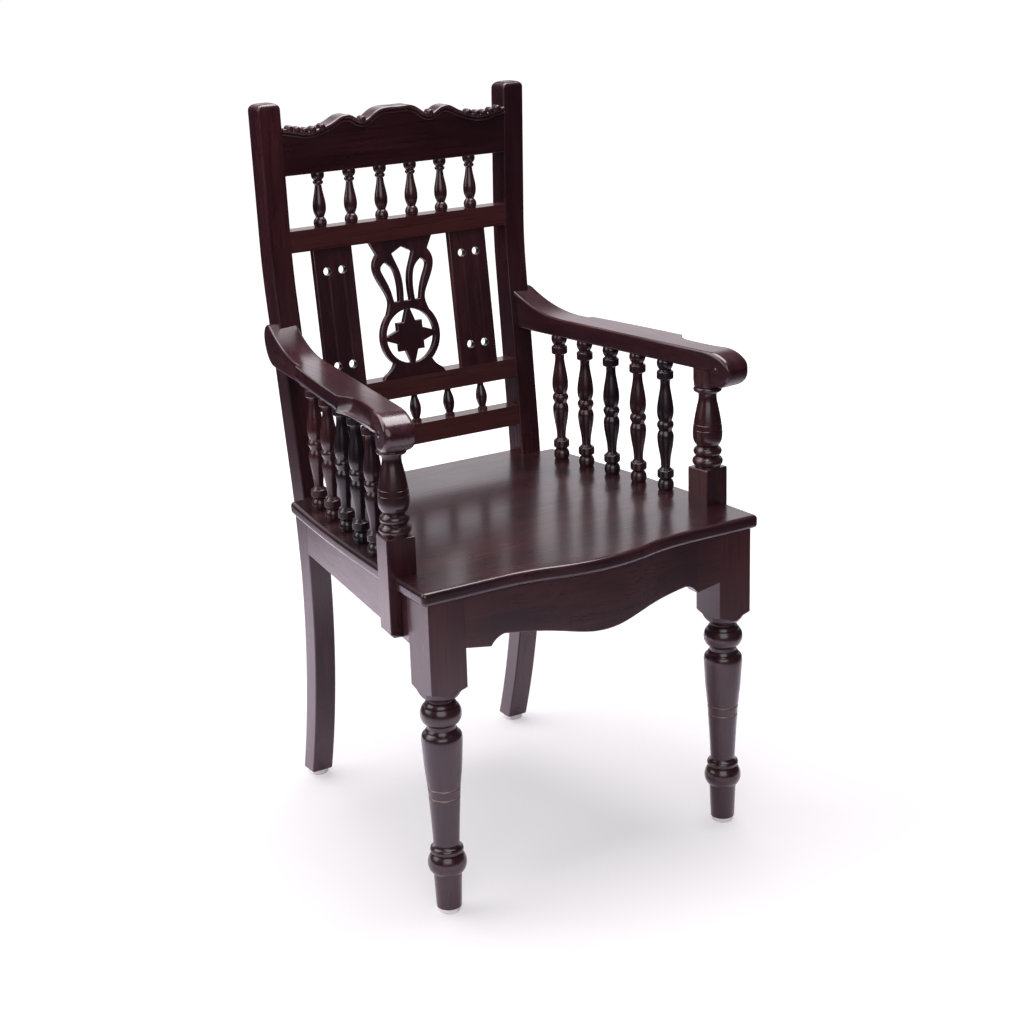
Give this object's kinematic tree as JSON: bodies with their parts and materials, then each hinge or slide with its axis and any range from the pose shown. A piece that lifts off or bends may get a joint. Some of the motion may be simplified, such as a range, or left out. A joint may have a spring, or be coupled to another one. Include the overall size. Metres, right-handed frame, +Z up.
{
  "type": "carved wooden armchair",
  "caption": "Dark polished wooden armchair with a scalloped crest, pierced star splat, turned spindles, scrolled arms and a bowed seat, for one person to sit in.",
  "frame": {"origin": "on the floor, under the middle of the chair's outer box", "axes": "+Z up, -Y towards the front of the chair, +X towards the right of someone facing it"},
  "size_m": [0.5558, 0.5466, 1.001],
  "materials": {
    "wood": "polished dark mahogany",
    "glide": "pale nylon",
    "steel": "plain steel"
  },
  "bodies": {
    "root": {"arm_back_screws": "steel", "arm_left": "wood", "arm_post_left": "wood", "arm_post_right": "wood", "arm_post_screws": "steel", "arm_right": "wood", "arm_spindle_1_left": "wood", "arm_spindle_1_right": "wood", "arm_spindle_2_left": "wood", "arm_spindle_2_right": "wood", "arm_spindle_3_left": "wood", "arm_spindle_3_right": "wood", "arm_spindle_4_left": "wood", "arm_spindle_4_right": "wood", "arm_spindle_5_left": "wood", "arm_spindle_5_right": "wood", "back_post_left": "wood", "back_post_right": "wood", "bottom_back_rail": "wood", "centre_splat": "wood", "corner_block_screws": "steel", "crest_rail": "wood", "crest_spindle_1": "wood", "crest_spindle_2": "wood", "crest_spindle_3": "wood", "crest_spindle_4": "wood", "crest_spindle_5": "wood", "crest_spindle_6": "wood", "front_apron": "wood", "front_corner_block_left": "wood", "front_corner_block_right": "wood", "front_glide_left": "glide", "front_glide_right": "glide", "front_leg_left": "wood", "front_leg_right": "wood", "glide_nails": "steel", "lower_back_rail": "wood", "lower_spindle_1": "wood", "lower_spindle_2": "wood", "lower_spindle_3": "wood", "lower_spindle_4": "wood", "lower_spindle_5": "wood", "rear_apron": "wood", "rear_corner_block_left": "wood", "rear_corner_block_right": "wood", "rear_glide_left": "glide", "rear_glide_right": "glide", "seat_panel": "wood", "seat_screws": "steel", "side_apron_left": "wood", "side_apron_right": "wood", "side_slat_left": "wood", "side_slat_right": "wood", "upper_back_rail": "wood"}
  },
  "joints": []
}
